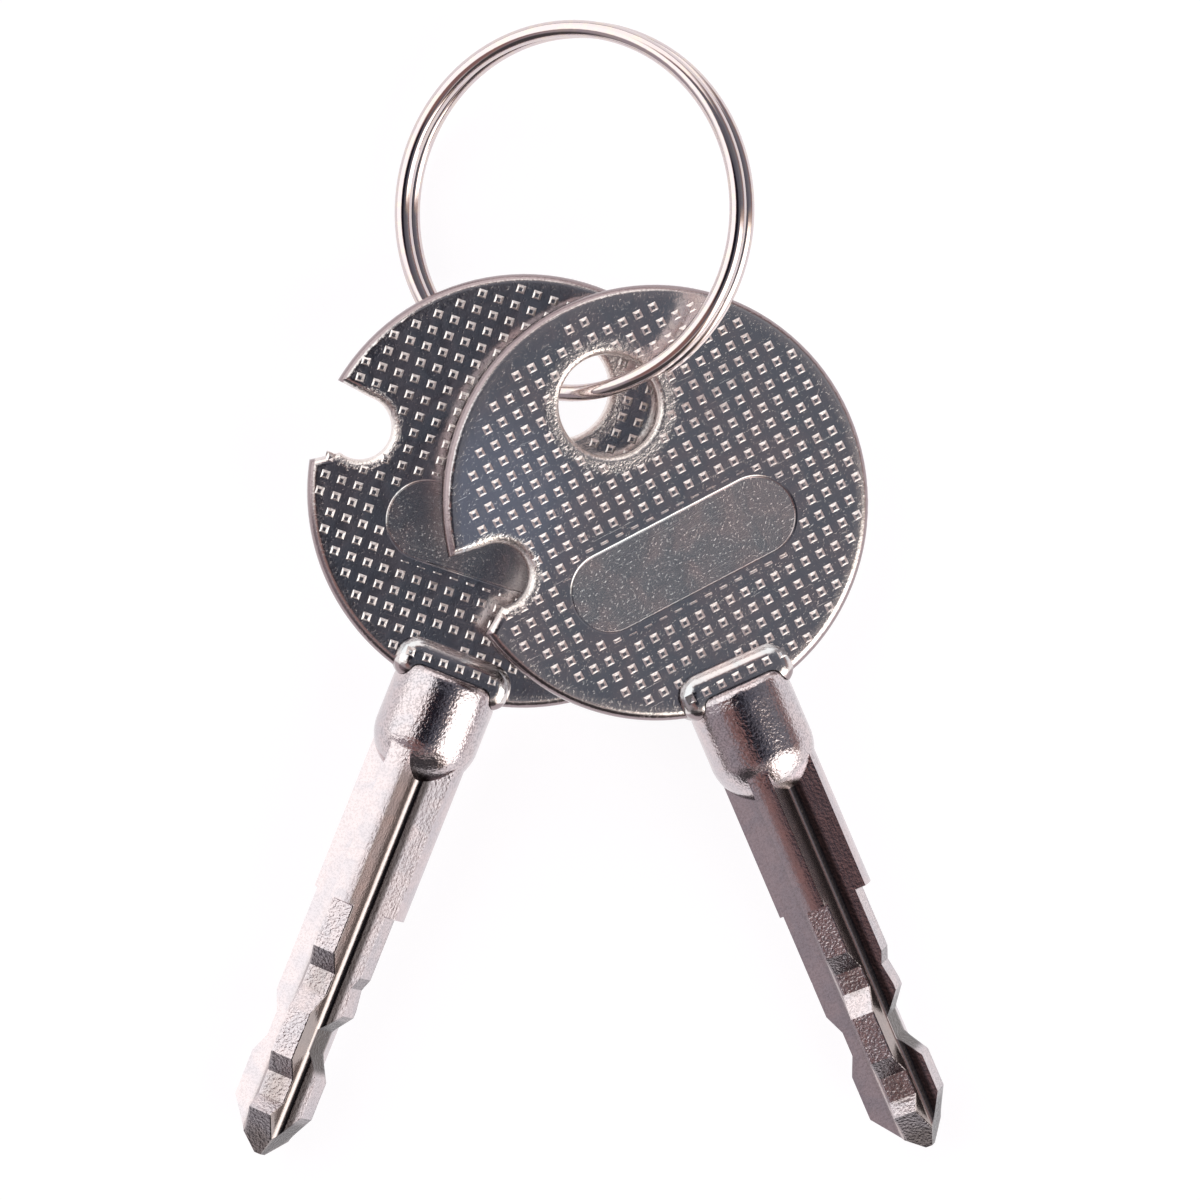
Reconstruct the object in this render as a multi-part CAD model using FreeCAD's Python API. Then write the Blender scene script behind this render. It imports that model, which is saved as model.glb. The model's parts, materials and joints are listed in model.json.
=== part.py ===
import FreeCAD, Part
import math
import os

from FreeCAD import Placement, Rotation, Vector

# Two cross-blade keys of a helmet lock on one split ring, lying on a flat surface.
# Millimetres. +Z is up from the surface, +Y runs from the key tips towards the ring.
# The origin is the middle of the whole set's outline on the surface.

# Split ring: round spring wire, two coils with a gentle climb from one to the other
RING_WIRE = 0.95
RING_MEAN_DIAMETER = 20.05
COIL_PITCH = 1.15
LONGEST_ARC = 120.0
RING_TILT = 23.0
LOWER_COIL_START = 301.0
CLIMB_START = 248.0
CLIMB_END = 296.0
UPPER_COIL_END = 226.0
WIRE_END_ROUND = 0.15

# Head: cast disc with a hole, a notch in its edge and a bare field on each face
HEAD_DIAMETER = 24.0
PLATE = 1.3
RIM_ROUND = 0.5
HEAD_TWIST = 3.4
HOLE_DIAMETER = 5.6
HOLE_OFFSET = 6.0
HOLE_ROUND = 0.4
NOTCH_RADIUS = 1.75
NOTCH_OFFSET = 9.75
NOTCH_RISE = 0.5
NOTCH_MOUTH_ABOVE = 2.1
NOTCH_MOUTH_BELOW = 2.55
NOTCH_RUN_OUT = 20.0
FIELD_LENGTH = 13.7
FIELD_WIDTH = 4.4
FIELD_OFFSET = 3.2
FIELD_DEPTH = 0.1

# Socket: where the head swells round the top of the collar and grips it
SOCKET_RISE = 1.45
SOCKET_LIP = 1.1
SOCKET_WALL = 0.4
SOCKET_HALF_HEIGHT = 1.7
SOCKET_CORNER = 1.3
SOCKET_LIP_CORNER = 1.0
SOCKET_EDGE = 0.9
SOCKET_FIT = 0.03

# Tang: the flat end of the blade that the head is cast round
TANG_WIDTH = 3.6
TANG_LENGTH = 3.0
TANG_THICKNESS = 0.7
TANG_HOLE = 1.4
TANG_FIT = 0.03

# Blade: round collar with a rounded top and a domed end, running into four fins.
# The lower key's collar ends nearer to its head, and its fins are cut further out.
COLLAR_DIAMETER = 5.9
COLLAR_TOP = 10.9
UPPER_COLLAR_LENGTH = 4.1
LOWER_COLLAR_LENGTH = 3.75
COLLAR_ROUND = 0.5
COLLAR_TAPER = 0.08
DOME_LENGTH = 2.6
FIN_WIDTH = 1.22
FIN_DRAFT = 9.0
FIN_ROOT_ROUND = 0.5
FIN_CLOCK = 29.5
WIDE_FIN_RADIUS = 2.72
LEFT_FIN_RADIUS = 2.52
NARROW_FIN_RADIUS = 2.15
RIGHT_FIN_RADIUS = 2.04
FIN_STEP = 13.0
BLADE_LENGTH = 27.9
LOWER_FIN_OFFSET = 0.7

# Cuts in the fins: distance below the collar's top, and radius left there.
# Front and back fins are cut alike.
FACE_CUTS = [(FIN_STEP, NARROW_FIN_RADIUS), (15.9, NARROW_FIN_RADIUS), (17.0, 1.35), (18.2, 1.35),
             (19.5, NARROW_FIN_RADIUS), (22.2, NARROW_FIN_RADIUS), (23.3, 1.3), (24.7, 1.3),
             (25.5, 2.1), (BLADE_LENGTH, 0.3)]
RIGHT_CUTS = [(FIN_STEP, RIGHT_FIN_RADIUS), (16.7, RIGHT_FIN_RADIUS), (17.4, 1.75), (18.6, 1.93),
              (19.0, 1.93), (20.2, 0.93), (21.5, 0.93), (22.9, 1.85), (25.1, 1.85), (BLADE_LENGTH, 0.2)]
LEFT_CUTS = [(16.6, LEFT_FIN_RADIUS), (17.0, 2.42), (18.9, LEFT_FIN_RADIUS), (20.2, 1.9),
             (21.6, 1.9), (22.9, LEFT_FIN_RADIUS), (25.2, LEFT_FIN_RADIUS), (BLADE_LENGTH, 0.2)]
LAST_CREST = FACE_CUTS[-2][0]

# How the set lies: each hole's place beside the lowest point of the ring in plan
LOWER_FAN = -21.8
LOWER_ROLL = 6.5
LOWER_HOLE_X = -0.84
LOWER_HOLE_Y = 0.3
UPPER_FAN = 23.2
UPPER_ROLL = 11.5
UPPER_HOLE_X = 1.86
UPPER_HOLE_Y = -0.7
THREAD_GAP = 0.2
STACK_GAP = 0.12

# How far the keys can close from where they lie, turning about their own holes
SWING_IN = 16.0


def turned(vector, angle):
    """The vector turned about +Z."""
    return Rotation(Vector(0, 0, 1), angle).multVec(vector)


def prism(points, depth, low):
    """A straight-sided block from an outline in XY."""
    face = Part.Face(Part.makePolygon(points + points[:1]))
    solid = face.extrude(Vector(0, 0, depth))
    solid.translate(Vector(0, 0, low))
    return solid


def edges_where(shape, test):
    """The shape's edges that pass a test."""
    return [edge for edge in shape.Edges if test(edge)]


# Split ring

def ring_point(angle, level):
    """A point of the wire's centreline, in the ring's own plane."""
    radius = RING_MEAN_DIAMETER / 2
    turn = math.radians(angle)
    return Vector(radius * math.cos(turn), radius * math.sin(turn), level)


def coil_arcs(start, end, level):
    """Arcs of no more than the longest arc along one flat coil."""
    count = max(1, math.ceil((end - start) / LONGEST_ARC))
    step = (end - start) / count
    arcs = []
    for index in range(count):
        first = start + index * step
        points = [ring_point(first + share * step, level) for share in (0, 0.5, 1)]
        arcs.append(Part.Arc(*points).toShape())
    return arcs


def arc_from(start, tangent, end):
    """The arc that leaves start along tangent and reaches end."""
    chord = end - start
    half = chord * 0.5
    along = Vector(tangent)
    along.normalize()
    angle = along.getAngle(chord)
    across = along - chord * (along.dot(chord) / chord.dot(chord))
    across.normalize()
    height = half.Length * math.tan(angle / 2)
    return Part.Arc(start, start + half + across * height, end).toShape()


def climb_arcs():
    """Two arcs that carry the wire from the lower coil to the upper one."""
    low = -COIL_PITCH / 2
    first = ring_point(CLIMB_START, low)
    middle = ring_point((CLIMB_START + CLIMB_END) / 2, 0)
    last = ring_point(CLIMB_END, -low)
    leave = turned(Vector(0, 1, 0), CLIMB_START)
    arrive = turned(Vector(0, -1, 0), CLIMB_END)
    second = arc_from(last, arrive, middle)
    second.reverse()
    return [arc_from(first, leave, middle), second]


def make_split_ring():
    """One unbroken wire: lower coil, climb, upper coil."""
    arcs = coil_arcs(LOWER_COIL_START, CLIMB_START + 360, -COIL_PITCH / 2)
    arcs += climb_arcs()
    arcs += coil_arcs(CLIMB_END, UPPER_COIL_END + 360, COIL_PITCH / 2)
    path = Part.Wire(arcs)
    start = ring_point(LOWER_COIL_START, -COIL_PITCH / 2)
    forward = turned(Vector(0, 1, 0), LOWER_COIL_START)
    section = Part.Wire([Part.makeCircle(RING_WIRE / 2, start, forward)])
    wire = path.makePipeShell([section], True, False)
    expected = math.pi * RING_WIRE ** 2 / 4 * path.Length
    print("split ring volume", round(wire.Volume, 3), "section times length", round(expected, 3))
    rims = edges_where(wire, lambda edge: abs(edge.Length - math.pi * RING_WIRE) < 1e-3)
    ends = [ring_point(LOWER_COIL_START, -COIL_PITCH / 2), ring_point(UPPER_COIL_END, COIL_PITCH / 2)]
    rims = [edge for edge in rims
            if min((edge.CenterOfMass - end).Length for end in ends) < RING_WIRE]
    return wire.makeFillet(WIRE_END_ROUND, rims)


# Head

def head_outline():
    """The disc's edge with the notch bitten out of it, in the head's own turn."""
    radius = HEAD_DIAMETER / 2
    centre = Vector(-NOTCH_OFFSET, NOTCH_RISE, 0)
    above = NOTCH_RISE + NOTCH_MOUTH_ABOVE
    below = NOTCH_RISE - NOTCH_MOUTH_BELOW
    upper_lip = Vector(-math.sqrt(radius ** 2 - above ** 2), above, 0)
    lower_lip = Vector(-math.sqrt(radius ** 2 - below ** 2), below, 0)
    top = centre + Vector(0, NOTCH_RADIUS, 0)
    bottom = centre + turned(Vector(0, -NOTCH_RADIUS, 0), -NOTCH_RUN_OUT)
    deepest = centre + Vector(NOTCH_RADIUS, 0, 0)
    return Part.Wire([
        Part.Arc(upper_lip, Vector(radius, 0, 0), lower_lip).toShape(),
        Part.makeLine(lower_lip, bottom),
        Part.Arc(bottom, deepest, top).toShape(),
        Part.makeLine(top, upper_lip),
    ])


def field_block():
    """The stadium of the bare field, standing on the head's upper face."""
    half = FIELD_LENGTH / 2 - FIELD_WIDTH / 2
    width = FIELD_WIDTH / 2
    middle = -FIELD_OFFSET
    outline = Part.Wire([
        Part.makeLine(Vector(-half, middle - width, 0), Vector(half, middle - width, 0)),
        Part.Arc(Vector(half, middle - width, 0), Vector(half + width, middle, 0),
                 Vector(half, middle + width, 0)).toShape(),
        Part.makeLine(Vector(half, middle + width, 0), Vector(-half, middle + width, 0)),
        Part.Arc(Vector(-half, middle + width, 0), Vector(-half - width, middle, 0),
                 Vector(-half, middle - width, 0)).toShape(),
    ])
    block = Part.Face(outline).extrude(Vector(0, 0, PLATE))
    block.translate(Vector(0, 0, PLATE / 2 - FIELD_DEPTH))
    return block


def make_disc():
    """The disc: rounded rim, rounded hole, bare fields."""
    disc = Part.Face(head_outline()).extrude(Vector(0, 0, PLATE))
    disc.translate(Vector(0, 0, -PLATE / 2))
    rim = edges_where(disc, lambda edge: abs(edge.BoundBox.ZLength) < 1e-6)
    disc = disc.makeFillet(RIM_ROUND, rim)
    hole = Part.makeCylinder(HOLE_DIAMETER / 2, 2 * PLATE, Vector(0, HOLE_OFFSET, -PLATE))
    disc = disc.cut(hole)
    mouth = edges_where(disc, lambda edge: abs(edge.Length - math.pi * HOLE_DIAMETER) < 1e-3)
    disc = disc.makeFillet(HOLE_ROUND, mouth)
    field = field_block()
    disc = disc.cut(field)
    disc = disc.cut(field.mirror(Vector(0, 0, 0), Vector(0, 0, 1)))
    disc.rotate(Vector(0, 0, 0), Vector(0, 0, 1), HEAD_TWIST)
    return disc


def make_socket():
    """The rounded swelling on both faces of the disc, before the collar's seat is cut."""
    width = COLLAR_DIAMETER + 2 * SOCKET_WALL
    length = SOCKET_RISE + SOCKET_LIP
    bottom = -COLLAR_TOP - SOCKET_LIP
    block = Part.makeBox(width, length, 2 * SOCKET_HALF_HEIGHT,
                         Vector(-width / 2, bottom, -SOCKET_HALF_HEIGHT))
    for low_end, corner in ((False, SOCKET_CORNER), (True, SOCKET_LIP_CORNER)):
        uprights = edges_where(block, lambda edge: edge.BoundBox.YLength < SOCKET_FIT
                               and edge.BoundBox.ZLength > SOCKET_HALF_HEIGHT
                               and (edge.CenterOfMass.y < bottom + length / 2) == low_end)
        block = block.makeFillet(corner, uprights)
    brims = edges_where(block, lambda edge: edge.BoundBox.ZLength < SOCKET_FIT)
    return block.makeFillet(SOCKET_EDGE, brims)


def collar_blank(gap, length):
    """The collar as a solid bar, grown by a gap: rounded top, slight taper, then straight."""
    radius = COLLAR_DIAMETER / 2 + gap
    narrow = radius - COLLAR_TAPER
    top = -COLLAR_TOP + gap
    bend = COLLAR_ROUND * (1 - math.sqrt(0.5))
    straight = -COLLAR_TOP - SOCKET_LIP
    profile = Part.Wire([
        Part.makeLine(Vector(0, top, 0), Vector(narrow - COLLAR_ROUND, top, 0)),
        Part.Arc(Vector(narrow - COLLAR_ROUND, top, 0), Vector(narrow - bend, top - bend, 0),
                 Vector(narrow, top - COLLAR_ROUND, 0)).toShape(),
        Part.makeLine(Vector(narrow, top - COLLAR_ROUND, 0), Vector(radius, straight, 0)),
        Part.makeLine(Vector(radius, straight, 0), Vector(radius, -COLLAR_TOP - length, 0)),
        Part.makeLine(Vector(radius, -COLLAR_TOP - length, 0), Vector(0, -COLLAR_TOP - length, 0)),
        Part.makeLine(Vector(0, -COLLAR_TOP - length, 0), Vector(0, top, 0)),
    ])
    return Part.Face(profile).revolve(Vector(0, 0, 0), Vector(0, 1, 0), 360)


def make_tang(gap):
    """The flat tang with its hole, grown by a gap, from just inside the collar."""
    width = TANG_WIDTH + 2 * gap
    thickness = TANG_THICKNESS + 2 * gap
    reach = TANG_LENGTH + gap + COLLAR_ROUND
    tang = Part.makeBox(width, reach, thickness,
                        Vector(-width / 2, -COLLAR_TOP - COLLAR_ROUND, -thickness / 2))
    hole = Part.makeCylinder(TANG_HOLE / 2 - gap, PLATE,
                             Vector(0, -COLLAR_TOP + TANG_LENGTH / 2, -PLATE / 2))
    return tang.cut(hole)


def make_head():
    """Disc and socket in one casting, open where it holds the collar and the tang."""
    head = make_disc().fuse(make_socket())
    head = head.cut(collar_blank(SOCKET_FIT, UPPER_COLLAR_LENGTH)).cut(make_tang(TANG_FIT))
    return head.removeSplitter()


# Blade

def make_collar(length):
    """Round collar with its domed end."""
    radius = COLLAR_DIAMETER / 2
    spring = -COLLAR_TOP - length
    bow = math.sqrt(0.5)
    profile = Part.Wire([
        Part.makeLine(Vector(0, spring, 0), Vector(radius, spring, 0)),
        Part.Arc(Vector(radius, spring, 0), Vector(radius * bow, spring - DOME_LENGTH * bow, 0),
                 Vector(0, spring - DOME_LENGTH, 0)).toShape(),
        Part.makeLine(Vector(0, spring - DOME_LENGTH, 0), Vector(0, spring, 0)),
    ])
    dome = Part.Face(profile).revolve(Vector(0, 0, 0), Vector(0, 1, 0), 360)
    return collar_blank(0, length).fuse(dome)


def fin_half(radius):
    """Half of a fin's thickness at a distance from the axis; its sides splay towards the root."""
    return FIN_WIDTH / 2 + (WIDE_FIN_RADIUS - radius) * math.tan(math.radians(FIN_DRAFT))


def cross_section():
    """A cross of four fins with rounded roots, a little wider than the blade."""
    reach = COLLAR_DIAMETER / 2
    draft = math.radians(FIN_DRAFT)
    root = fin_half(0) / (1 + math.tan(draft))
    half_angle = math.radians(45) + draft
    run = FIN_ROOT_ROUND / math.tan(half_angle)
    near = root - run * math.sin(draft)
    far = root + run * math.cos(draft)
    middle = root + FIN_ROOT_ROUND * (1 / math.sin(half_angle) - 1) * math.sqrt(0.5)
    end_half = fin_half(reach)
    edges = []
    for quarter in range(4):
        turn = quarter * 90
        points = [Vector(end_half, reach, 0), Vector(near, far, 0), Vector(middle, middle, 0),
                  Vector(far, near, 0), Vector(reach, end_half, 0), Vector(reach, -end_half, 0)]
        points = [turned(point, -turn) for point in points]
        edges.append(Part.makeLine(points[0], points[1]))
        edges.append(Part.Arc(points[1], points[2], points[3]).toShape())
        edges.append(Part.makeLine(points[3], points[4]))
        edges.append(Part.makeLine(points[4], points[5]))
    return Part.Face(Part.Wire(edges))


def blade_envelope():
    """The turned blank of the fins: wide from inside the collar, narrower beyond the step."""
    top = -COLLAR_TOP - SOCKET_LIP
    step = -COLLAR_TOP - FIN_STEP
    tip = -COLLAR_TOP - BLADE_LENGTH
    profile = [Vector(0, top, 0), Vector(WIDE_FIN_RADIUS, top, 0), Vector(WIDE_FIN_RADIUS, step, 0),
               Vector(LEFT_FIN_RADIUS, step, 0), Vector(LEFT_FIN_RADIUS, tip, 0), Vector(0, tip, 0)]
    face = Part.Face(Part.makePolygon(profile + profile[:1]))
    return face.revolve(Vector(0, 0, 0), Vector(0, 1, 0), 360)


def fin_cutter(cuts, turn):
    """What is milled off one fin, as a bar across it."""
    beyond = COLLAR_DIAMETER
    points = [Vector(beyond, -COLLAR_TOP - cuts[0][0], 0)]
    points += [Vector(radius, -COLLAR_TOP - below, 0) for below, radius in cuts]
    past = -COLLAR_TOP - BLADE_LENGTH - FIN_WIDTH
    points += [Vector(cuts[-1][1], past, 0), Vector(beyond, past, 0)]
    bar = prism(points, 2 * FIN_WIDTH, -FIN_WIDTH)
    bar.rotate(Vector(0, 0, 0), Vector(0, 1, 0), turn)
    return bar


def make_blade(collar_length, fin_offset):
    """Tang, collar and fins in one piece, the cuts moved towards the tip by fin_offset."""
    cross = cross_section()
    cross.rotate(Vector(0, 0, 0), Vector(1, 0, 0), 90)
    cross.translate(Vector(0, -COLLAR_TOP - SOCKET_LIP, 0))
    fins = cross.extrude(Vector(0, -BLADE_LENGTH, 0)).common(blade_envelope())
    for quarter, cuts in enumerate((RIGHT_CUTS, FACE_CUTS, LEFT_CUTS, FACE_CUTS)):
        fins = fins.cut(fin_cutter(cuts, 90 * quarter))
    fins.rotate(Vector(0, 0, 0), Vector(0, 1, 0), -FIN_CLOCK)
    fins.translate(Vector(0, -fin_offset, 0))
    return make_collar(collar_length).fuse([make_tang(0), fins]).removeSplitter()


# Lying pose

def key_rotation(fan, pitch, roll):
    """Roll about the key's length, then pitch its tip down, then fan it out."""
    about_length = Rotation(Vector(0, 1, 0), roll)
    tip_down = Rotation(Vector(1, 0, 0), pitch)
    sideways = Rotation(Vector(0, 0, 1), fan)
    return sideways.multiply(tip_down).multiply(about_length)


def slopes(rotation):
    """How a key's plate climbs along +X and +Y."""
    normal = rotation.multVec(Vector(0, 0, 1))
    return Vector(-normal.x / normal.z, -normal.y / normal.z, 0)


def hole_in_key():
    """The hole's centre in the key's own frame."""
    return turned(Vector(0, HOLE_OFFSET, 0), HEAD_TWIST)


def foot_height(roll):
    """Height of the blade's axis over the surface where its last crest rests."""
    lean = math.radians((FIN_CLOCK - roll) % 90)
    lean = min(lean, math.pi / 2 - lean)
    return NARROW_FIN_RADIUS * math.cos(lean) + fin_half(NARROW_FIN_RADIUS) * math.sin(lean)


def pitch_to_floor(hole_height, roll, fin_offset):
    """The pitch that puts the blade's last crest on the surface."""
    reach = hole_in_key().y + COLLAR_TOP + LAST_CREST + fin_offset
    return math.degrees(math.asin((hole_height - foot_height(roll)) / reach))


def lying_pose():
    """Hole centres and rotations of the lower and the upper key, and the ring's placement."""
    tilt = math.radians(RING_TILT)
    radius = RING_MEAN_DIAMETER / 2
    ring_height = radius * math.sin(tilt) + COIL_PITCH / 2 * math.cos(tilt) + RING_WIRE / 2
    ring = Placement(Vector(0, radius, ring_height), Rotation(Vector(0, 1, 0), -RING_TILT))
    rise = math.tan(tilt)
    coil_drop = COIL_PITCH / 2 / math.cos(tilt)
    wire_half = RING_WIRE / 2 / math.cos(tilt)

    roll_slope = slopes(key_rotation(LOWER_FAN, 0, LOWER_ROLL)).x
    edge_x = LOWER_HOLE_X - HOLE_DIAMETER / 2
    wire_top = ring_height + rise * edge_x - coil_drop + wire_half
    lower_z = (wire_top + PLATE / 2 - HOLE_ROUND / 2 + THREAD_GAP
               + roll_slope * HOLE_DIAMETER / 2)
    lower_hole = Vector(LOWER_HOLE_X, LOWER_HOLE_Y, lower_z)
    lower_pitch = pitch_to_floor(lower_z, LOWER_ROLL, LOWER_FIN_OFFSET)
    lower_turn = key_rotation(LOWER_FAN, lower_pitch, LOWER_ROLL)

    upper_xy = Vector(UPPER_HOLE_X, UPPER_HOLE_Y, 0)
    upper_z = lower_z + PLATE
    for _ in range(4):
        upper_turn = key_rotation(UPPER_FAN, pitch_to_floor(upper_z, UPPER_ROLL, 0), UPPER_ROLL)
        lower_slope = slopes(lower_turn)
        upper_slope = slopes(upper_turn)
        closing = lower_slope - upper_slope
        closing.normalize()
        centre = turned(hole_in_key() * -1, LOWER_FAN + SWING_IN)
        nearest = Vector(LOWER_HOLE_X, LOWER_HOLE_Y, 0) + centre + closing * (HEAD_DIAMETER / 2)
        lower_there = lower_z + lower_slope.dot(nearest - Vector(LOWER_HOLE_X, LOWER_HOLE_Y, 0))
        upper_z = lower_there + PLATE + STACK_GAP - upper_slope.dot(nearest - upper_xy)
    upper_hole = upper_xy + Vector(0, 0, upper_z)
    return ring, (lower_hole, lower_turn), (upper_hole, upper_turn)


def key_placement(hole, rotation):
    """Puts a key so that its hole's centre is at the given point."""
    return Placement(hole - rotation.multVec(hole_in_key()), rotation)


def main():
    os.makedirs("parts", exist_ok=True)
    ring_place, lower, upper = lying_pose()
    head = make_head()
    blades = {"lower_key": make_blade(LOWER_COLLAR_LENGTH, LOWER_FIN_OFFSET),
              "upper_key": make_blade(UPPER_COLLAR_LENGTH, 0)}
    split_ring = make_split_ring()
    split_ring.Placement = ring_place.multiply(split_ring.Placement)
    nodes = {"split_ring": split_ring}
    for name, (hole, rotation) in (("lower_key", lower), ("upper_key", upper)):
        place = key_placement(hole, rotation)
        for piece, solid in (("head", head), ("blade", blades[name])):
            shape = solid.copy()
            shape.Placement = place.multiply(shape.Placement)
            nodes[name + "_" + piece] = shape

    boxes = [shape.optimalBoundingBox() for shape in nodes.values()]
    low = Vector(*[min(getattr(box, side) for box in boxes) for side in ("XMin", "YMin", "ZMin")])
    high = Vector(*[max(getattr(box, side) for box in boxes) for side in ("XMax", "YMax", "ZMax")])
    origin = Vector((low.x + high.x) / 2, (low.y + high.y) / 2, low.z)
    for name, shape in nodes.items():
        shape.translate(origin * -1)
        assert shape.isValid() and len(shape.Solids) == 1, name
        shape.exportStep("parts/" + name + ".step")
        print(name, "volume", round(shape.Volume, 2))
    print("size", high - low)
    print("ring centre", ring_place.Base - origin)
    for name, (hole, rotation) in (("lower key", lower), ("upper key", upper)):
        print(name, "hole", hole - origin, "hinge axis", rotation.multVec(Vector(0, 0, 1)))
        collar_top = key_placement(hole, rotation).multVec(Vector(0, -COLLAR_TOP, 0)) - origin
        print(name, "collar top", collar_top, "towards the tip", rotation.multVec(Vector(0, -1, 0)))
    return nodes


if __name__ == "__main__":
    main()
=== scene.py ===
# %% [markdown]
# # Two helmet-lock keys on a split ring
# The real set is two nickel-plated keys that lie fanned out on a white table, threaded on a double coil
# of spring wire. The CAD model already gives the right solids in the right places. Blender adds what
# makes them look real: the knurl on the discs, the worn edges and the plating. Everything is in metres
# in the CAD model's own frame, so no piece has to be fitted by eye.

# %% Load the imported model
import json
import math

import bmesh
import bpy
from mathutils import Euler, Matrix, Vector
from mathutils.bvhtree import BVHTree


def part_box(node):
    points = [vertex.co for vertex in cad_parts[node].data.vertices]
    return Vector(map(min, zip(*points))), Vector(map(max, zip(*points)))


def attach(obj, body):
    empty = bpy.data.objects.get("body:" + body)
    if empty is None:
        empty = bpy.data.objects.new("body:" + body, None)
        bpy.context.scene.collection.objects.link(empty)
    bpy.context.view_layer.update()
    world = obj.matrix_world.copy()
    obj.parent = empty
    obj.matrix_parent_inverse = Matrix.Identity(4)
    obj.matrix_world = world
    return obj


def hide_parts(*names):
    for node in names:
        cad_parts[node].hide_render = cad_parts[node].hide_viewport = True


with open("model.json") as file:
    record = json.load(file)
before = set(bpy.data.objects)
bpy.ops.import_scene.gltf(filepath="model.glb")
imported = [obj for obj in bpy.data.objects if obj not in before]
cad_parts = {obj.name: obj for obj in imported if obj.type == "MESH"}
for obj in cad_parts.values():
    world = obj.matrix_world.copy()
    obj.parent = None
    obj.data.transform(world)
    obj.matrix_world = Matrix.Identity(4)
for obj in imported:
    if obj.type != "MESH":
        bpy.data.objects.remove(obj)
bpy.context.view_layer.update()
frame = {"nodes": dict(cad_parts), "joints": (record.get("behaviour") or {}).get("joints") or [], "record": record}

MM = 0.001

# %% [markdown]
# ## Each key's own frame
# Every measure of a key is simplest in the key's own millimetres: x across it, y from the tip towards
# the ring, z out of the disc's upper face, with the origin in the middle of the disc. The keys lie
# turned and tilted, so that frame has to be found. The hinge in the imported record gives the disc's
# normal, and the collar's mount gives a point on the key's axis and its direction. The hole, notch,
# bare field and knurl were struck 3.4 degrees askew on the real disc, so the frame includes that turn.

# %% Frames of the two keys
COLLAR_MOUTH = 12.0
STRIKE_TURN = math.radians(3.4)


def collar_mount(key):
    return next(mount for mount in frame["record"]["mounts"] if mount["name"] == key + "_collar")


def collar_length(key):
    """How far the collar stands out of the socket's lips, in millimetres."""
    return collar_mount(key)["dims"]["length_mm"]


def key_frame(key):
    """The matrix that takes a key's own millimetres to the scene's metres."""
    hinge = next(joint for joint in frame["joints"] if joint["name"] == key + "_swing")
    collar = collar_mount(key)
    up = Vector(hinge["axis"]).normalized()
    ahead = -Vector(collar["axis"]).normalized()
    side = ahead.cross(up).normalized()
    centre = Vector(collar["pos_m"]) + ahead * (COLLAR_MOUTH + collar_length(key) / 2) * MM
    axes = Matrix((side, ahead, up)).transposed() @ Matrix.Rotation(STRIKE_TURN, 3, "Z")
    return Matrix.LocRotScale(centre, axes.to_quaternion(), Vector((MM, MM, MM)))


KEYS = ("lower_key", "upper_key")
key_frames = {key: key_frame(key) for key in KEYS}
for key, place in key_frames.items():
    print(key, "disc centre", [round(value, 5) for value in place.translation])

# %% Frame of the split ring
RING_TILT = math.radians(23)
ring_low, ring_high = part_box("split_ring")
ring_frame = Matrix.LocRotScale((ring_low + ring_high) / 2, Euler((0, -RING_TILT, 0)), Vector((MM, MM, MM)))
print("ring centre", [round(value, 5) for value in ring_frame.translation])

# %% [markdown]
# ## Writing finishes as sums
# A finish is a network of small nodes, and a network of Math nodes is hard to read. Wrapping a socket in
# a class whose operators add Math nodes lets a mask be written as an ordinary expression. Every other
# node comes from one method, which sets the node's own options first and then its sockets.

# %% A reading: one value on its way through a finish
class Reading:
    """One value, colour or vector of a finish; sums on values add their own nodes."""

    def __init__(self, finish, socket):
        self.finish = finish
        self.socket = socket

    def sum(self, operation, *others):
        return self.finish.node("Math", {"operation": operation}, dict(enumerate((self,) + others)))

    def __add__(self, other):
        return self.sum("ADD", other)

    def __sub__(self, other):
        return self.sum("SUBTRACT", other)

    def __mul__(self, other):
        return self.sum("MULTIPLY", other)

    __radd__ = __add__
    __rmul__ = __mul__

    def __rsub__(self, other):
        return self.finish.node("Math", {"operation": "SUBTRACT"}, {0: other, 1: self})

    def __abs__(self):
        return self.sum("ABSOLUTE")

    def root(self):
        return self.sum("SQRT")

    def above(self, limit):
        return self.sum("MAXIMUM", limit)

    def below(self, limit):
        return self.sum("MINIMUM", limit)

    def rise(self, start, end):
        """0 before start and 1 after end, easing in between; start may be the larger."""
        return self.finish.node("MapRange", {"interpolation_type": "SMOOTHSTEP"},
                                {"Value": self, "From Min": start, "From Max": end})


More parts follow.
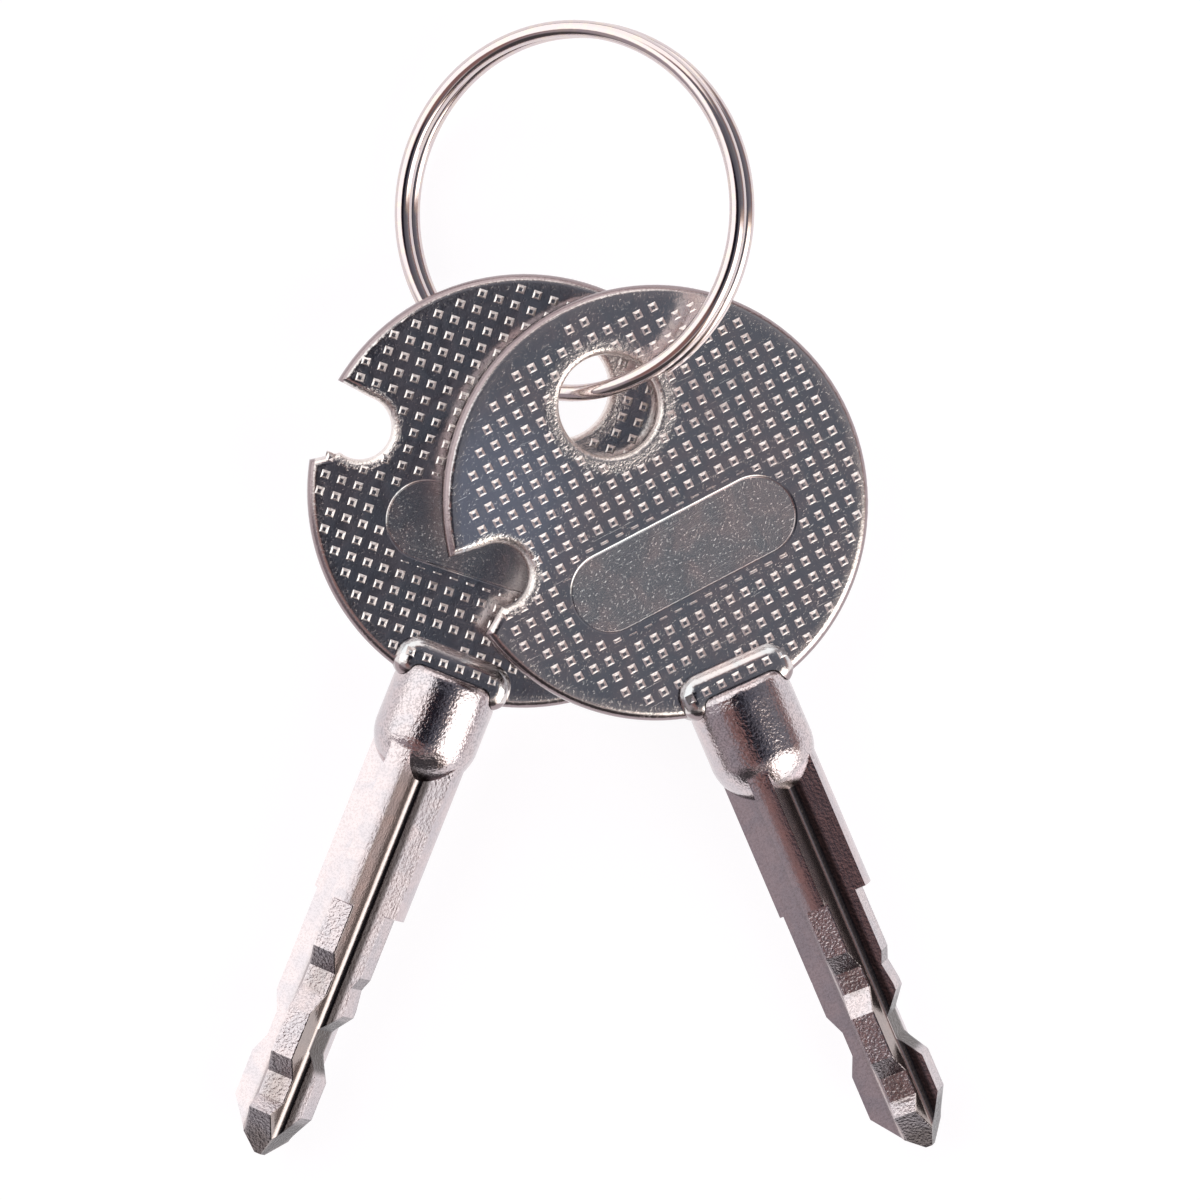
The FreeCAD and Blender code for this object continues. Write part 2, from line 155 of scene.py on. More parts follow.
# %% A finish: the nodes of one material or of the studio
class Finish:
    """A node tree with one way of adding a node."""

    def __init__(self, tree):
        self.tree = tree
        tree.nodes.clear()

    def node(self, kind, settings, values, out=0):
        made = self.tree.nodes.new("ShaderNode" + kind)
        for name, value in settings.items():
            setattr(made, name, value)
        for name, value in values.items():
            live = [socket for socket in made.inputs if socket.enabled]
            socket = live[name] if isinstance(name, int) else next(s for s in live if s.name == name)
            if isinstance(value, Reading):
                self.tree.links.new(value.socket, socket)
            else:
                socket.default_value = value
        live = [socket for socket in made.outputs if socket.enabled]
        if live:
            return Reading(self, live[out] if isinstance(out, int) else made.outputs[out])

    def blend(self, share, first, second):
        """A colour between two colours."""
        return self.node("Mix", {"data_type": "RGBA"}, {"Factor": share, "A": first, "B": second})

    def parts(self, vector):
        return [self.node("SeparateXYZ", {}, {"Vector": vector}, out=axis) for axis in "XYZ"]

    def joined(self, x, y, z):
        return self.node("CombineXYZ", {}, {"X": x, "Y": y, "Z": z})

    def stretched(self, vector, scale, turn=0.0):
        """Coordinates in which a pattern is scaled along each axis, after a turn about z."""
        return self.node("Mapping", {"vector_type": "POINT"},
                         {"Vector": vector, "Rotation": (0, 0, turn), "Scale": scale})

    def specks(self, vector, scale, detail=2.0, warp=0.0):
        """Noise between 0 and 1, with its features 1 / scale across."""
        return self.node("TexNoise", {"noise_dimensions": "3D"},
                         {"Vector": vector, "Scale": scale, "Detail": detail, "Distortion": warp})

    def metal(self, colour, rough, height):
        """Ends the tree as plated metal; height is in millimetres."""
        bump = self.node("Bump", {}, {"Strength": 1.0, "Distance": MM, "Height": height})
        shader = self.node("BsdfPrincipled", {}, {
            "Metallic": 1.0, "Base Color": colour, "Roughness": rough, "Normal": bump})
        self.node("OutputMaterial", {}, {"Surface": shader})


# %% Start of a finish
def new_finish(name):
    """A material and the tree that describes its finish."""
    material = bpy.data.materials.new(name)
    material.use_nodes = True
    print("finish", name)
    return material, Finish(material.node_tree)


def own_millimetres(finish, place):
    """The shaded point in the frame of the piece, in millimetres, so a pattern sits on the piece."""
    metres = finish.node("TexCoord", {}, {}, out="Object")
    return finish.node("Mapping", {"vector_type": "TEXTURE"}, {
        "Vector": metres, "Location": place.translation,
        "Rotation": place.to_euler(), "Scale": (MM, MM, MM)})


# %% [markdown]
# ## Nickel plate on the discs
# The discs are cast, plated and tumbled with hundreds of others. The flat between the bumps keeps a dark,
# slightly hazy mirror; the plating is frosted where the deburring tool went round the hole and the
# notch; the bare field is matt; the plating of the upper disc has a bluish bloom beside its notch.
# A material for each zone would leave hard borders. One finish with masks lets the zones melt into each
# other, as they do on the real disc. The masks are distances in the key's own millimetres: to the hole,
# to the notch, and to the stadium of the field.

# %% Measures of the disc
HOLE_MIDDLE, HOLE_RADIUS = (0.0, 6.0, 0.0), 2.8
NOTCH_MIDDLE, NOTCH_RADIUS = (-9.75, 0.5, 0.0), 1.75
FIELD_MIDDLE, FIELD_HALF_RUN, FIELD_RADIUS = -3.2, 4.65, 2.2
DISC_RADIUS = 12.0
MIRROR_BLUE = (0.60, 0.605, 0.62, 1)
MIRROR_GREY = (0.72, 0.64, 0.635, 1)
FROST = (0.88, 0.81, 0.78, 1)
BLOOM = (0.82, 0.86, 0.95, 1)
BLOOM_MIDDLE = (-8.5, 4.5, 0.0)
BLOOM_SHARE = {"lower_key": 0.0, "upper_key": 0.9}
EDGE_WEAR = (0.36, 0.29, 0.30, 1)
print("field", 2 * (FIELD_HALF_RUN + FIELD_RADIUS), "x", 2 * FIELD_RADIUS, "mm")


# %% Scratches
def scratch_lines(finish, point, turn, stretch, warp):
    """Short fine lines in one direction: noise stretched along it, of which only the peaks count."""
    along_line = finish.stretched(point, (*stretch, 1.0), turn)
    return finish.specks(along_line, 1.0, 1.0, warp).rise(0.73, 0.79)


# %% Finish of a disc
def disc_finish(key):
    """Dark mirror, frosted rings round the openings, matt field, scratches."""
    material, finish = new_finish(key + "_disc_nickel")
    point = own_millimetres(finish, key_frames[key])
    x, y = finish.parts(point)[:2]
    flat = finish.joined(x, y, 0.0)

    def from_middle(middle):
        return finish.node("VectorMath", {"operation": "DISTANCE"}, {0: flat, 1: middle}, out="Value")

    grain = finish.specks(point, 7.0, 3.0)
    fine = finish.specks(point, 22.0, 2.0)
    cloud = finish.specks(point, 0.45, 2.0, 0.6)
    ragged = grain * 0.5
    hole = from_middle(HOLE_MIDDLE) - HOLE_RADIUS - ragged
    notch = from_middle(NOTCH_MIDDLE) - NOTCH_RADIUS - ragged
    frosted = hole.rise(0.95, 0.1).above(notch.rise(0.4, 0.05))
    run = (abs(x) - FIELD_HALF_RUN).above(0.0)
    drop = y - FIELD_MIDDLE
    field = (run * run + drop * drop).root() - FIELD_RADIUS
    matt = field.rise(0.0, -0.15)
    border = abs(field).rise(0.09, 0.0)
    rim = DISC_RADIUS - from_middle((0.0, 0.0, 0.0))
    tumbled = (rim - ragged).rise(0.75, 0.2)
    worn_down = rim.rise(0.9, 0.2)
    bloom = from_middle(BLOOM_MIDDLE).rise(7.0, 1.5)
    scratches = (scratch_lines(finish, point, 0.8, (0.35, 9.0), 1.2)
                 + scratch_lines(finish, point, -0.7, (0.3, 7.0), 1.5))
    colour = finish.blend(cloud.rise(0.35, 0.7), MIRROR_BLUE, MIRROR_GREY)
    colour = finish.blend(bloom * BLOOM_SHARE[key], colour, BLOOM)
    colour = finish.blend(frosted.above(tumbled * 0.6), colour, FROST)
    colour = finish.blend((rim - ragged * 0.2).rise(0.28, 0.16), colour, EDGE_WEAR)
    rough = 0.11 + cloud * 0.06 + frosted * 0.12 + matt * 0.12 + tumbled * 0.06 + scratches * 0.1
    pits = grain.rise(0.58, 0.72)
    height = (grain * (0.002 + frosted * 0.035 + tumbled * 0.006)
              + pits * (0.0035 + matt * 0.004) + fine * (0.0008 + frosted * 0.003)
              + cloud * 0.03 - scratches * (1 - matt * 0.7) * 0.0015
              - border * 0.02 - worn_down * 0.02)
    finish.metal(colour, rough, height)
    return material


# %% [markdown]
# ## Rubbed plate on the knurl, with painted sheen
# The raised bumps meet everything that the keys lie against in a pocket, so their plating is rubbed dull
# while the flat around them stays dark; their pale colour is painted sheen. A mask for so many small
# squares would have to repeat the grid inside the disc's finish. The bumps are geometry, so they simply
# get a rougher nickel of their own, made lighter as painted sheen; only the sunken top of each bump keeps
# the finish of the disc.

# %% Finish of the bumps
# Colours paler than the disc's nickel: painted sheen
SHEEN_LIGHT = (1.0, 0.94, 0.92, 1)
SHEEN_DARK = (0.82, 0.73, 0.70, 1)


def rubbed_sheen_finish(key):
    """Dull plating, made pale as painted sheen, with small darker spots."""
    material, finish = new_finish(key + "_rubbed_sheen_nickel")
    point = own_millimetres(finish, key_frames[key])
    grain = finish.specks(point, 7.0, 2.0)
    colour = finish.blend(grain.rise(0.4, 0.6), SHEEN_LIGHT, SHEEN_DARK)
    finish.metal(colour, 0.3, grain * 0.01)
    return material


# %% [markdown]
# ## Nickel plate on the blades
# Collar and fins are one casting with milled fins. The collar keeps the pimpled skin of the mould, which
# breaks reflections into black and white specks, while the fins show fine lines along their length from
# the cutter. As geometry these would need millions of faces, so both are bump patterns: one even in all
# directions, one stretched along the key. Grime sits in the pores. Between the fins the colour is painted
# browner as shade, with a near-black painted shadow at the root of the right fin. The bitting facets that
# face the tip take a variant of the finish darkened as painted shade. The masks are in the blade's own
# frame, whose x and z axes run out along two fins.

# %% Measures of the blade
FIN_CLOCK = math.radians(29.5)
FIN_SPLAY = math.tan(math.radians(9))
FIN_HALF, FIN_REACH = 0.61, 2.72
FIN_SIDE = FIN_HALF + FIN_REACH * FIN_SPLAY
DOME_START, DOME_END = 1.2, 2.4
BITTING_FROM = {"lower_key": -24.6, "upper_key": -23.9}
NICKEL = (0.69, 0.60, 0.61, 1)
NICKEL_COOL = (0.62, 0.565, 0.59, 1)
# Dark dirt in the pores, also used as painted shade on the bitting facets that face the tip
GRIME_AND_SHADE = (0.10, 0.09, 0.10, 1)
# Painted shade between the fins
GROOVE_SHADE = (0.25, 0.19, 0.14, 1)
# Painted shadow at the root of the right fin
ROOT_SHADOW = (0.06, 0.048, 0.045, 1)
print("fin side line", round(FIN_SIDE, 3), "mm")


# %% Finish of a blade
def blade_finish(key, name, tip_shade):
    """Pimpled collar, milling lines along the fins, rough metal where the bitting was cut; painted shade between
    the fins, and the last argument darkens the whole finish as painted shade.
    """
    material, finish = new_finish(key + name)
    place = (key_frames[key] @ Matrix.Rotation(-STRIKE_TURN, 4, "Z")
             @ Matrix.Rotation(-FIN_CLOCK, 4, "Y"))
    point = own_millimetres(finish, place)
    x, y, z = finish.parts(point)
    collar_end = -COLLAR_MOUTH - collar_length(key)
    collar = y.rise(collar_end - DOME_END, collar_end - DOME_START)
    # A wall of a fin lies where side is FIN_SIDE; less means an outer face or a cut between the walls
    side = abs(x).below(abs(z)) + abs(x).above(abs(z)) * FIN_SPLAY
    crest = side.rise(FIN_SIDE, FIN_SIDE - 0.1)
    cut = crest * y.rise(BITTING_FROM[key], BITTING_FROM[key] - 0.1)
    # Painted shade: deep between all fins and on the wall right of the front fin; a near-black painted shadow at
    # the root of the right one
    groove = (x * x + z * z).root().rise(1.7, 1.0) * (1 - collar)
    wall = x.rise(0.2, 0.5) * (z - x).rise(0.0, 0.2) * (1 - crest) * (1 - collar)
    root = x.rise(1.75, 1.45) * (x - abs(z)).rise(-0.1, 0.1) * (1 - collar)
    # The skin of the mould is left on the upper and under sides of the collar
    over_floor = abs(x * math.sin(FIN_CLOCK) + z * math.cos(FIN_CLOCK))
    skin = collar * over_floor.rise(0.9, 1.6)
    pimples = finish.specks(point, 6.0, 2.0)
    pores = finish.specks(point, 8.0, 2.0).rise(0.46, 0.60)
    lines = finish.specks(finish.stretched(point, (12.0, 0.6, 12.0)), 1.0, 3.0)
    cloud = finish.specks(point, 0.8, 2.0, 0.5)
    colour = finish.blend(cloud.rise(0.35, 0.65), NICKEL, NICKEL_COOL)
    # Painted shade: browner between the fins and on the right wall of the front fin
    colour = finish.blend((groove * 0.65).above(wall * 0.55), colour, GROOVE_SHADE)
    # Painted shadow: near-black at the root of the right fin
    colour = finish.blend(root * 0.9, colour, ROOT_SHADOW)
    # Dirt in the pores of the casting; the last argument darkens the whole finish as painted shade
    colour = finish.blend(pores * (0.12 + skin * 0.2 + cut * 0.1) + tip_shade, colour, GRIME_AND_SHADE)
    rough = 0.11 + cloud * 0.08 + (1 - collar) * 0.05
    height = (pimples * (0.010 + skin * 0.02 + cut * 0.05)
              + lines * (1 - collar) * (1 - cut) * 0.004 + cloud * 0.012)
    finish.metal(colour, rough, height)
    return material


# %% [markdown]
# ## Discs and blades
# A disc is a coin with a hole, a notch, a sunk field and a swelling; a blade is a round collar that runs
# into four fins. Both could be modelled again here, but their shapes are the CAD model's already, so a
# copy of each solid is used. It is welded, because the loaded triangles do not share corners and would
# shade as facets. Creases sharper than 28 degrees stay sharp, and normals are weighted by area, which
# keeps the flats truly flat beside their rounded edges: on a mirror finish the eye sees the smallest
# error.

# %% Creases
CREASE = math.radians(28)
CUT_CREASE = math.radians(11)
CUT_WIDTH = 0.3 * MM


def wide(face):
    """Whether a face is a milled flat and not one strip of a rounded corner."""
    return 2 * face.calc_area() / face.calc_perimeter() > CUT_WIDTH


def creases(shape, cut_from=None):
    """The edges that stay sharp; beyond cut_from along the key, shallow edges between flats too."""
    sharp = []
    for edge in shape.edges:
        if len(edge.link_faces) != 2:
            continue
        angle = edge.calc_face_angle()
        cut = cut_from and cut_from(edge) and all(wide(face) for face in edge.link_faces)
        if angle > CREASE or (cut and angle > CUT_CREASE):
            sharp.append(edge)
    return sharp


# %% A finished piece
def finished(name, shape, materials, body, sharp=None):
    """Makes an object from a bmesh whose points are in their final place."""
    for face in shape.faces:
        face.smooth = True
    for edge in creases(shape) if sharp is None else sharp:
        edge.smooth = False
    mesh = bpy.data.meshes.new(name)
    shape.to_mesh(mesh)
    shape.free()
    for material in materials:
        mesh.materials.append(material)
    piece = bpy.data.objects.new(name, mesh)
    bpy.context.scene.collection.objects.link(piece)
    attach(piece, body)
    print(name, len(mesh.polygons), "faces")
    return piece


# %% Welded copies of the solids
FLAT = math.radians(0.2)


def welded(node):
    """The solid's triangles with shared corners, and each flat made one face again."""
    shape = bmesh.new()
    shape.from_mesh(frame["nodes"][node].data)
    bmesh.ops.remove_doubles(shape, verts=shape.verts, dist=1e-7)
    bmesh.ops.dissolve_limit(shape, angle_limit=FLAT, verts=shape.verts, edges=shape.edges)
    return shape


def stand_in(node, name, materials, body, cut_from=None, second=None):
    """A piece of the same shape as a solid, in its place; second picks the faces of its second material."""
    shape = welded(node)
    for face in shape.faces:
        face.material_index = int(second is not None and second(face))
    piece = finished(name, shape, materials, body, creases(shape, cut_from))
    even = piece.modifiers.new("Even normals", "WEIGHTED_NORMAL")
    even.keep_sharp = True
    even.weight = 100
    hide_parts(node)


# %% Which edges and faces the cutter made
FINS_FROM = -17.7
TIP_FACING_LEAN = 0.3


def on_fins(key):
    """Tells whether an edge lies beyond the dome, where every facet is a cutter's."""
    back = key_frames[key].inverted()
    return lambda edge: (back @ edge.verts[0].co).y < FINS_FROM


# The bitting facets that face the tip get the variant of the finish darkened as painted shade
def tip_facing_facet(key):
    """Tells whether a face of the bitting faces the tip."""
    back = key_frames[key].inverted()
    turn = back.to_3x3().normalized()
    return lambda face: ((back @ face.calc_center_median()).y < BITTING_FROM[key]
                         and (turn @ face.normal).y < -TIP_FACING_LEAN)


# %% Both keys
disc_finishes = {key: disc_finish(key) for key in KEYS}
for key in KEYS:
    stand_in(key + "_head", key + "_disc", [disc_finishes[key]], key)
    milled = blade_finish(key, "_blade_nickel", 0.0)
    # The second finish is the same nickel darkened as painted shade
    tip_shade = blade_finish(key, "_tip_shaded_nickel", 0.55)
    stand_in(key + "_blade", key + "_cross_blade", [milled, tip_shade], key,
             cut_from=on_fins(key), second=tip_facing_facet(key))

# %% [markdown]
# ## Polished wire of the ring
# Split rings are wound from drawn wire and barrel-polished, so they are the brightest pieces, with faint
# lines along the wire. The lines follow the coil when the pattern is read in the coil's own terms: the
# distance from its middle, the angle round it, and the height.

# %% Finish of the ring
NICKEL_WARM = (0.75, 0.65, 0.59, 1)


def ring_finish():
    """Bright wire with faint drawing lines."""
    material, finish = new_finish("ring_polished_nickel")
    point = own_millimetres(finish, ring_frame)
    x, y, z = finish.parts(point)
    reach = (x * x + y * y).root()
    angle = y.sum("ARCTAN2", x)
    lines = finish.specks(finish.joined(reach * 16.0, angle * 4.0, z * 16.0), 1.0, 2.0)
    dirt = finish.specks(point, 2.5, 3.0)
    colour = finish.blend(dirt.rise(0.4, 0.75), NICKEL, NICKEL_WARM)
    rough = 0.06 + dirt * 0.06
    height = lines * 0.0012 + dirt * 0.0015
    finish.metal(colour, rough, height)
    return material


# %% [markdown]
# ## The coil of the ring
# A split ring is one wire wound twice round, with a short climb where it crosses from the lower turn to
# the upper one. The solid's own triangles, or a curve with a thickness, would do for a dull wire. A
# polished one shows any unevenness of its mesh as a wavering line, so the coil is spun here from one
# circle: about the ring's own axis for the flat turns, and in small steps that also lift it for the
# climb. The angles are in degrees round the ring, from its right-hand side.

# %% Measures of the coil
WIRE_RADIUS, COIL_RADIUS, COIL_PITCH = 0.475, 10.025, 1.15
LOWER_START, CLIMB_START, CLIMB_END, UPPER_END = 301, 248, 296, 226
FULL_TURN = 360
STEP = 3
END_ROUND = 0.15
print("ring", 2 * (COIL_RADIUS + WIRE_RADIUS), "mm across")


# %% Spin the wire
def spin(wire, section, degrees, lift, steps):
    """Sweeps a section of the wire round the ring's axis; returns the section at the new end."""
    return bmesh.ops.spin(wire, geom=section, cent=(0, 0, 0), axis=(0, 0, 1), angle=math.radians(degrees),
                          dvec=(0, 0, lift / steps), steps=steps, use_merge=False,
                          use_duplicate=False)["geom_last"]


def climbed(share):
    """How much of the climb is done at a share of its length, gentle at both ends."""
    return 2 * share ** 2 if share < 0.5 else 1 - 2 * (1 - share) ** 2


def open_coil():
    """The wire from end to end in the ring's own millimetres."""
    wire = bmesh.new()
    start = Matrix.Rotation(math.radians(LOWER_START), 4, "Z") @ Matrix.Translation(
        (COIL_RADIUS, 0, -COIL_PITCH / 2)) @ Matrix.Rotation(math.pi / 2, 4, "X")
    bmesh.ops.create_circle(wire, segments=24, radius=WIRE_RADIUS, matrix=start)
    section = list(wire.verts) + list(wire.edges)
    lower_turn = CLIMB_START + FULL_TURN - LOWER_START
    section = spin(wire, section, lower_turn, 0, round(lower_turn / STEP))
    climb = CLIMB_END - CLIMB_START
    strips = climb // STEP
    raised = 0
    for strip in range(1, strips + 1):
        target = climbed(strip / strips)
        section = spin(wire, section, climb / strips, (target - raised) * COIL_PITCH, 1)
        raised = target
    upper_turn = UPPER_END + FULL_TURN - CLIMB_END
    spin(wire, section, upper_turn, 0, round(upper_turn / STEP))
    return wire


# %% Close the ends and set the ring in place
def coil():
    """The wire with rounded ends, where the ring lies."""
    wire = open_coil()
    open_edges = [edge for edge in wire.edges if edge.is_boundary]
    ends = bmesh.ops.holes_fill(wire, edges=open_edges, sides=0)["faces"]
    bmesh.ops.recalc_face_normals(wire, faces=wire.faces)
    rims = [edge for face in ends for edge in face.edges]
    bmesh.ops.bevel(wire, geom=rims, offset=END_ROUND, offset_type="OFFSET", affect="EDGES",
                    segments=3, profile=0.5, material=-1)
    bmesh.ops.transform(wire, matrix=ring_frame, verts=wire.verts)
    return wire


coils = finished("ring_coils", coil(), [ring_finish()], "ring")
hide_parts("split_ring")

# %% [markdown]
# ## Knurl
# Both faces of a disc carry a square grid of tiny raised bumps with sunken tops, which is what the eye
# takes for sparkle. The grid runs over the swelling at the collar and stops short of the hole; beside
# the bare field it is cut to thin dashes. A bump pattern in the material would do from afar, but near
# by each bump has edges that catch the light, so they are geometry. One bump is made from a four-sided
# cone with its top inset and pressed in. It is then copied to each crossing of the grid and dropped on
# the disc along the disc's normal, corner by corner, so that it follows whatever is under it. Where a
# corner would climb the steep foot of the swelling it stays level, and the swelling covers it, as on
# the real disc.

# %% One bump
BUMP_BASE, BUMP_TOP, BUMP_HEIGHT = 0.52, 0.26, 0.075
DISH_WALL, DISH_DEPTH = 0.05, 0.04
TOP_SHIFT = (-0.02, -0.045)
SUNK = 0.02


def bump_blank():
    """A bump on the plane z = 0, in millimetres, with its foot a little below."""
    bump = bmesh.new()
    square = math.sqrt(0.5)
    bmesh.ops.create_cone(bump, cap_ends=True, segments=4, radius1=BUMP_BASE * square,
                          radius2=BUMP_TOP * square, depth=BUMP_HEIGHT + SUNK,
                          matrix=Matrix.Translation((0, 0, (BUMP_HEIGHT - SUNK) / 2))
                          @ Matrix.Rotation(math.pi / 4, 4, "Z"))
    top = [face for face in bump.faces if face.normal.z > 0.9]
    bmesh.ops.translate(bump, verts=list(top[0].verts), vec=(*TOP_SHIFT, 0))
    bmesh.ops.inset_region(bump, faces=top, thickness=DISH_WALL, depth=-DISH_DEPTH)
    top[0].material_index = 1
    mesh = bpy.data.meshes.new("bump_blank")
    bump.to_mesh(mesh)
    bump.free()
    return mesh


bump_mesh = bump_blank()
print("one bump", len(bump_mesh.polygons), "faces")

# %% Measures of the grid, which was struck a little differently on each disc
GRID_START = {"lower_key": (-9.617, 5.98), "upper_key": (9.546, 2.938)}
GRID_ACROSS = {"lower_key": (0.959, -0.0264), "upper_key": (0.952, -0.010)}
GRID_ALONG = {"lower_key": (0.023, 0.9465), "upper_key": (-0.021, 0.961)}
GRID_MIDDLE = {"lower_key": (-0.34, 0.08), "upper_key": (0.26, -0.33)}
GRID_RADIUS = {"lower_key": 11.2, "upper_key": 11.08}
GRID_COUNT = 30
HOLE_CLEAR = 0.5
NOTCH_CLEAR = 0.1
FIELD_CLEAR = 0.33
THINNEST = 0.06


# %% Where the bumps stand
def apart(x, y, middle):
    return math.hypot(x - middle[0], y - middle[1])


def beside_field(x, y):
    """The lowest and highest y of a bump that is centred here, once the bare field has cut it."""
    low, high = y - BUMP_BASE / 2, y + BUMP_BASE / 2
    run = max(abs(x) - FIELD_HALF_RUN, 0.0)
    reach = math.sqrt(max((FIELD_RADIUS + FIELD_CLEAR) ** 2 - run ** 2, 0.0))
    if reach > 0 and y > FIELD_MIDDLE:
        low = max(low, FIELD_MIDDLE + reach)
    elif reach > 0:
        high = min(high, FIELD_MIDDLE - reach)
    return low, high


def crossings(key):
    """The middle of each bump, and how much of its width along y the bare field leaves."""
    across, along = Vector(GRID_ACROSS[key]), Vector(GRID_ALONG[key])
    counts = range(-GRID_COUNT, GRID_COUNT + 1)
    found = []
    for x, y in (Vector(GRID_START[key]) + column * across + row * along
                 for column in counts for row in counts):
        on_grid = apart(x, y, GRID_MIDDLE[key]) <= GRID_RADIUS[key]
        off_hole = apart(x, y, HOLE_MIDDLE) >= HOLE_RADIUS + HOLE_CLEAR
        off_notch = apart(x, y, NOTCH_MIDDLE) >= NOTCH_RADIUS + NOTCH_CLEAR + BUMP_BASE / 2
        low, high = beside_field(x, y)
        if on_grid and off_hole and off_notch and high - low > THINNEST:
            found.append((x, (low + high) / 2, (high - low) / BUMP_BASE))
    return found


print({key: len(crossings(key)) for key in KEYS}, "crossings carry a bump")

# %% Drop the bumps on a disc
RAY_START = 9
DASH = 0.5
FLATTEST = 0.6
MOST_RISE = 0.15


def height_finder(key, up):
    """A function that finds the disc's height at x, y in the key's frame, and how square it lies."""
    place = key_frames[key]
    back = place.inverted()
    disc = welded(key + "_head")
    surface = BVHTree.FromBMesh(disc)
    disc.free()
    down = (place.to_3x3() @ Vector((0, 0, -up))).normalized()

    def under(x, y):
        hit, normal = surface.ray_cast(place @ Vector((x, y, RAY_START * up)), down)[:2]
        return (None, 0.0) if hit is None else ((back @ hit).z * up, abs(normal.dot(down)))

    return under


def knurl(key):
    """All bumps of one key, on its upper face (up is 1) and its lower one (up is -1)."""
    grid = bmesh.new()
    for up in (1, -1):
        under = height_finder(key, up)
        for x, y, share in crossings(key):
            middle, squareness = under(x, y)
            if middle is None or squareness < FLATTEST:
                continue
            first, first_face = len(grid.verts), len(grid.faces)
            grid.from_mesh(bump_mesh)
            grid.verts.ensure_lookup_table()
            grid.faces.ensure_lookup_table()
            if share < DASH:
                for face in grid.faces[first_face:]:
                    face.material_index = 0
            for point in grid.verts[first:]:
                spot_x, spot_y = x + point.co.x, y + point.co.y * share
                rest = under(spot_x, spot_y)[0]
                if rest is None or abs(rest - middle) > MOST_RISE:
                    rest = middle
                point.co = key_frames[key] @ Vector((spot_x, spot_y, (rest + point.co.z) * up))
    bmesh.ops.recalc_face_normals(grid, faces=grid.faces)
    finished(key + "_knurl", grid, [rubbed_sheen_finish(key), disc_finishes[key]], key)


for key in KEYS:
    knurl(key)

# %% [markdown]
# ## Table and studio
# The keys lie on a bright white table that shows no shadow, so the table gives off most of its light
# itself, in a pool round the keys; further out, where the steep sides of the metal mirror it, it is
# grey. Polished metal shows only its surroundings, and the studio is what the render is really made of:
# a dark ceiling that the flats and the tops of the round parts mirror, a thin reddish band round it,
# white low down, a dark front, and two wide soft white panels, upper left and lower right. Area lights
# would give the panels but not the rest. The studio is written as the world's colour by direction,
# which is smooth and free of noise. Turns are compass turns from +X towards +Y.

# %% The table
TABLE_HALF = 1.5
TABLE_NEAR = (1.0, 0.985, 1.0, 1)
TABLE_FAR = (0.3, 0.3, 0.31, 1)
TABLE_PAPER = (0.2, 0.2, 0.2, 1)
POOL_FULL, POOL_END = 0.05, 0.14
table_mesh = bmesh.new()
bmesh.ops.create_grid(table_mesh, x_segments=1, y_segments=1, size=TABLE_HALF)
table_data = bpy.data.meshes.new("table_top")
table_mesh.to_mesh(table_data)
table_mesh.free()
table = bpy.data.objects.new("table_top", table_data)
bpy.context.scene.collection.objects.link(table)

# %% Paint of the table
table_paint, paper = new_finish("table_white")
from_set = paper.node("VectorMath", {"operation": "LENGTH"},
                      {0: paper.node("TexCoord", {}, {}, out="Object")}, out="Value")
pool = paper.blend(from_set.rise(POOL_END, POOL_FULL), TABLE_FAR, TABLE_NEAR)
sheet = paper.node("BsdfPrincipled", {}, {
    "Base Color": TABLE_PAPER, "Roughness": 0.9, "Specular IOR Level": 0.0,
    "Emission Color": pool, "Emission Strength": 0.9})
paper.node("OutputMaterial", {}, {"Surface": sheet})
table_data.materials.append(table_paint)

# %% Colours and turns of the studio
CEILING = (0.11, 0.115, 0.14, 1)
CEILING_EDGE = (0.155, 0.16, 0.19, 1)
LENS = (0.012, 0.012, 0.02, 1)
BAND = (0.29, 0.17, 0.16, 1)
DOOR = (0.42, 0.38, 0.41, 1)
FRONT = (0.07, 0.066, 0.07, 1)
WALL = (1.5, 1.48, 1.45, 1)
LEFT_PANEL = (1.55, 1.57, 1.55, 1)
RIGHT_PANEL = (2.6, 2.6, 2.5, 1)
PANEL_EDGE = (0.75, 0.55, 0.42, 1)
BACKGROUND = (0.84, 0.85, 0.87, 1)
LEFT_TURN = math.radians(158)
RIGHT_TURN = math.radians(-32)
CARD_TURN = math.radians(28)
DOOR_TURN = math.radians(203)
FRONT_TURN = math.radians(-92)
LENS_PLACE = (-0.128, -0.054, 0.99)

# %% Directions in the studio
studio = bpy.data.worlds.new("studio")
bpy.context.scene.world = studio
studio.use_nodes = True
light = Finish(studio.node_tree)
direction = light.node("TexCoord", {}, {}, out="Generated")
across, along, height = light.parts(direction)
level = (1 - height * height).above(0.0001).root()


def facing(turn):
    """How squarely a direction faces a compass turn, from -1 to 1."""
    return (across * math.cos(turn) + along * math.sin(turn)).sum("DIVIDE", level)


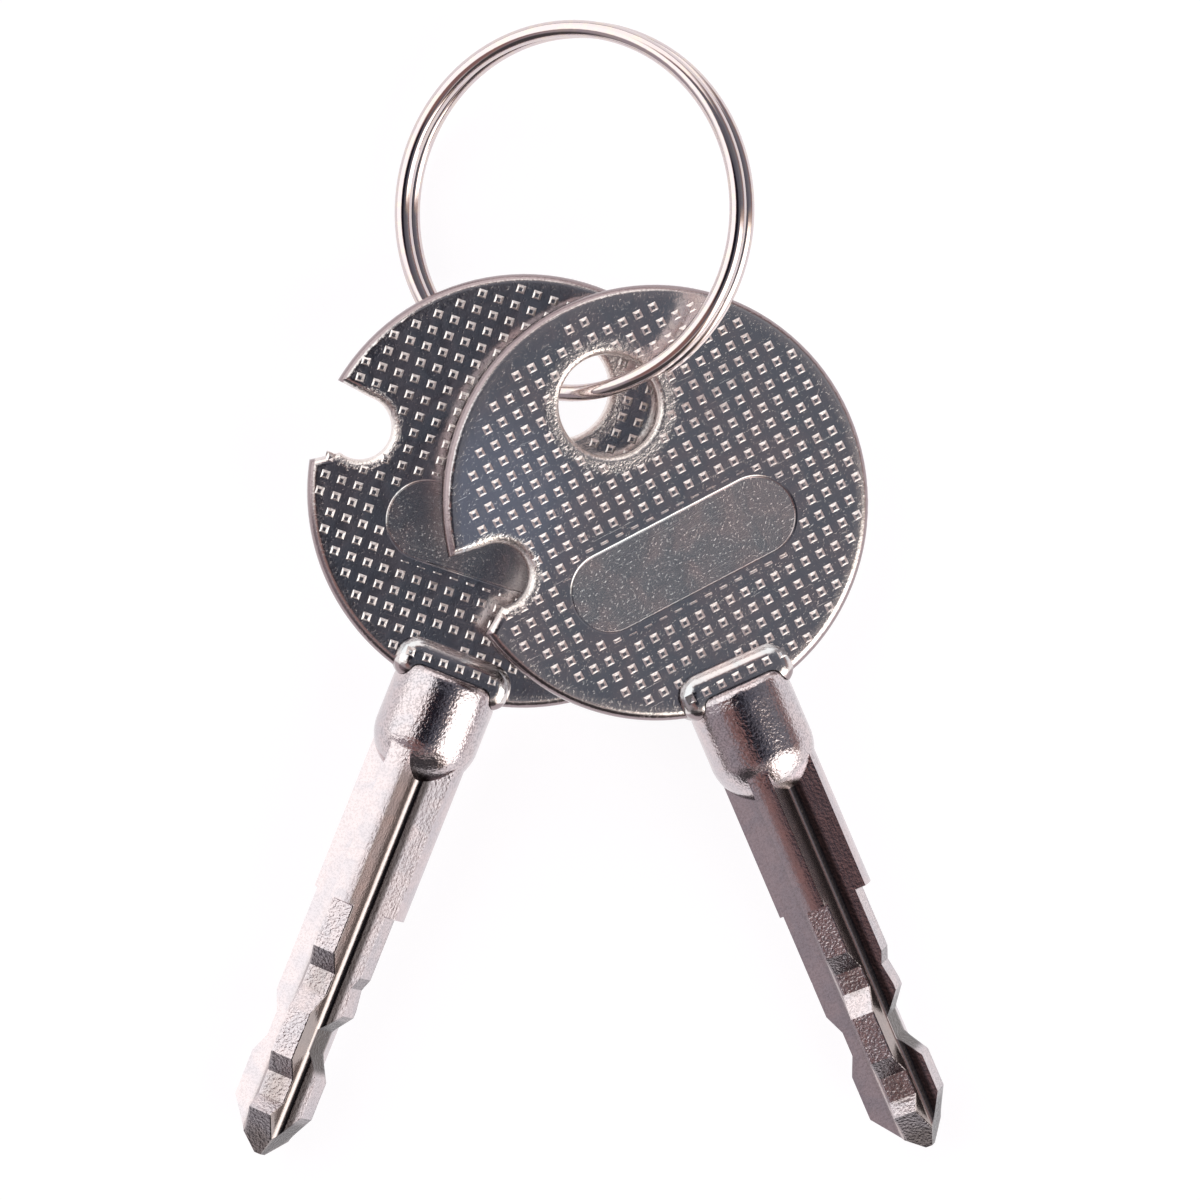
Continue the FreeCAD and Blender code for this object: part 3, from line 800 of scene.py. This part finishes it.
# %% Ceiling, walls and the dark front
card = facing(CARD_TURN).rise(0.70, 0.92)
door = facing(DOOR_TURN).rise(0.35, 0.8)
toward_lens = across * LENS_PLACE[0] + along * LENS_PLACE[1] + height * LENS_PLACE[2]
overhead = toward_lens.rise(0.945, 0.975)
band = height.rise(0.80, 0.74).above(door * height.rise(0.95, 0.91))
low = height.rise(0.76, 0.62) * (1 - card * 0.95)
ceiling = light.blend(height.rise(0.97, 0.89), CEILING, CEILING_EDGE)
sky = light.blend(band * (1 - card * height.rise(0.2, 0.3)), ceiling, BAND)
sky = light.blend(overhead, sky, LENS)
sky = light.blend(low, sky, light.blend(door, WALL, DOOR))
front = facing(FRONT_TURN).rise(0.60, 0.85) * height.rise(0.72, 0.60)
sky = light.blend(front, sky, FRONT)

# %% The two soft panels
left_panel = facing(LEFT_TURN).rise(0.80, 0.93) * height.rise(0.91, 0.86)
right_panel = facing(RIGHT_TURN).rise(0.86, 0.95) * height.rise(0.82, 0.76)
glow_edge = facing(RIGHT_TURN).rise(0.80, 0.93) * height.rise(0.86, 0.80)
sky = light.blend(glow_edge, sky, PANEL_EDGE)
sky = light.blend(left_panel, sky, LEFT_PANEL)
sky = light.blend(right_panel, sky, RIGHT_PANEL)

# %% What the camera sees past the table
seen = light.node("LightPath", {}, {}, out="Is Camera Ray")
sky = light.blend(seen, sky, BACKGROUND)
glow = light.node("Background", {}, {"Color": sky, "Strength": 1.0})
light.node("OutputWorld", {}, {"Surface": glow})
print("studio with", len(studio.node_tree.nodes), "nodes")

# %% [markdown]
# ## Camera
# The photograph was taken from straight above. A camera without perspective would be close to it, but
# the walls of the hole and of the notch show a little there. A long lens half a metre up gives just that.

# %% The camera
AIM = Vector((0.00059, -0.00059, 0.005))
CAMERA_UP = 0.55
VIEW_WIDTH = 0.0661
SENSOR = 36
camera_data = bpy.data.cameras.new("from_above")
camera_data.sensor_width = SENSOR
camera_data.lens = SENSOR * (CAMERA_UP - AIM.z) / VIEW_WIDTH
camera_data.clip_start = 0.01
camera = bpy.data.objects.new("from_above", camera_data)
camera.location = (AIM.x, AIM.y, CAMERA_UP)
bpy.context.scene.collection.objects.link(camera)
bpy.context.scene.camera = camera
bpy.context.scene.view_settings.view_transform = "Standard"
print("lens", round(camera_data.lens, 1), "mm")
